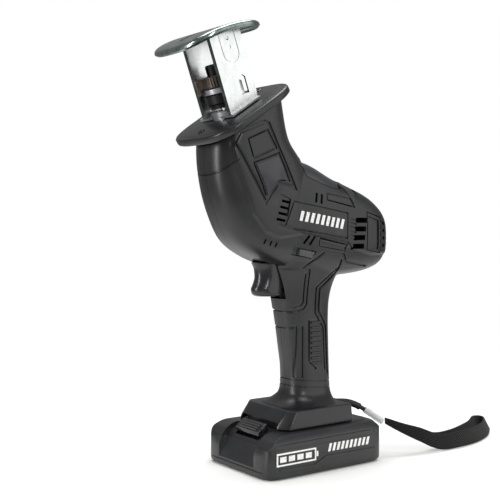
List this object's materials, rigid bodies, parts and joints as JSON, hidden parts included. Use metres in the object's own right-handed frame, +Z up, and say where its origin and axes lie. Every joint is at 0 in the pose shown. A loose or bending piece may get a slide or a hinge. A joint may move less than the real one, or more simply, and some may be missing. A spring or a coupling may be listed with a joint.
{
  "type": "reciprocating saw",
  "caption": "Cordless reciprocating saw with an upright nose, bowed shoe on a U bracket, twist-lock blade clamp, trigger, slide-on battery pack and wrist strap.",
  "frame": {"origin": "centre of the battery pack's flat bottom, on which the saw stands", "axes": "+Z up; the nose, trigger and battery button face -X; the user's left side is -Y; the middle plane is y = 0"},
  "size_m": [0.3463, 0.0982, 0.3614],
  "materials": {
    "moulded_nylon": "moulded glass-filled nylon, satin spark texture",
    "smooth_nylon": "smooth moulded plastic, semi-gloss",
    "zinc_steel": "bright zinc-plated pressed steel sheet",
    "bright_steel": "ground and turned steel",
    "black_steel": "black oxide steel",
    "cast_aluminium": "die-cast aluminium, machined seats",
    "bronze": "sintered bronze and tinned copper alloy",
    "nylon_webbing": "coarse woven black nylon webbing",
    "clear_vinyl": "clear flexible vinyl tube",
    "cell_wrap": "shrink sleeve on steel cells",
    "circuit_board": "green glass-epoxy board"
  },
  "bodies": {
    "housing": {"left_housing_shell": "moulded_nylon", "right_housing_shell": "moulded_nylon", "nose_guard": "moulded_nylon", "shoe_bracket": "zinc_steel", "shoe_plate": "zinc_steel", "nose_ring": "cast_aluminium", "gear_frame": "cast_aluminium", "front_bushing": "bronze", "rear_guide": "bronze", "crank_bearing": "bright_steel", "motor_mount": "cast_aluminium", "motor_can": "zinc_steel", "motor_end_cap": "moulded_nylon", "magnet_left": "black_steel", "magnet_right": "black_steel", "motor_brush_left": "black_steel", "motor_brush_right": "black_steel", "switch_body": "smooth_nylon", "trigger_spring": "bright_steel", "control_board": "circuit_board", "terminal_block": "smooth_nylon", "terminal_blade_left": "bronze", "terminal_blade_right": "bronze", "guard_screw_1": "bright_steel", "guard_screw_2": "bright_steel", "housing_screw_1": "bright_steel", "housing_screw_2": "bright_steel", "housing_screw_3": "bright_steel", "housing_screw_4": "bright_steel", "housing_screw_5": "bright_steel", "housing_screw_6": "bright_steel", "housing_screw_7": "bright_steel", "strap_anchor": "moulded_nylon", "strap_cord": "nylon_webbing", "strap_sleeve": "clear_vinyl", "wrist_strap": "nylon_webbing"},
    "plunger": {"plunger_shaft": "bright_steel", "clamp_body": "black_steel", "clamp_ring": "bright_steel"},
    "clamp_collar": {"clamp_collar": "black_steel"},
    "crank": {"crank_gear": "bright_steel", "crank_pin": "bright_steel"},
    "armature": {"armature": "bright_steel", "motor_pinion": "bright_steel", "cooling_fan": "smooth_nylon"},
    "trigger": {"trigger": "smooth_nylon"},
    "lock_off": {"lock_off_bar": "smooth_nylon"},
    "battery": {"battery_lower_case": "smooth_nylon", "battery_upper_case": "smooth_nylon", "battery_cell_1": "cell_wrap", "battery_cell_2": "cell_wrap", "battery_cell_3": "cell_wrap", "battery_cell_4": "cell_wrap", "battery_cell_5": "cell_wrap", "cell_link": "zinc_steel"},
    "release_button": {"release_button": "smooth_nylon"}
  },
  "joints": [
    {"name": "plunger_slide", "type": "slide", "parent": "housing", "child": "plunger", "axis": [-0.3338, 0, 0.9426], "range_m": [-0.002, 0.013]},
    {"name": "clamp_collar_twist", "type": "hinge", "parent": "plunger", "child": "clamp_collar", "pos_m": [-0.07768, 0, 0.31692], "axis": [-0.3338, 0, 0.9426], "range_deg": [0, 60], "stiffness_Nm_per_rad": 0.08, "springref_deg": -17.19},
    {"name": "motor_spin", "type": "hinge", "parent": "housing", "child": "armature", "pos_m": [-0.0423, 0, 0.217], "axis": [0.9816, 0, -0.1908], "continuous": true},
    {"name": "crank_spin", "type": "hinge", "parent": "housing", "child": "crank", "pos_m": [-0.0423, 0, 0.217], "axis": [0, 1, 0], "continuous": true},
    {"name": "trigger_pull", "type": "slide", "parent": "housing", "child": "trigger", "axis": [1, 0, 0], "range_m": [0, 0.006], "stiffness_N_per_m": 900, "springref_m": -0.003},
    {"name": "lock_off_press", "type": "slide", "parent": "housing", "child": "lock_off", "axis": [0, 1, 0], "range_m": [0, 0.003], "stiffness_N_per_m": 800, "springref_m": -0.002},
    {"name": "battery_slide", "type": "slide", "parent": "housing", "child": "battery", "axis": [-1, 0, 0], "range_m": [0, 0.09]},
    {"name": "release_button_press", "type": "slide", "parent": "battery", "child": "release_button", "axis": [0, 0, -1], "range_m": [0, 0.003], "stiffness_N_per_m": 900, "springref_m": -0.003}
  ],
  "couplings": [
    {"joint": "crank_spin", "follows": "motor_spin", "ratio": -0.18182}
  ]
}
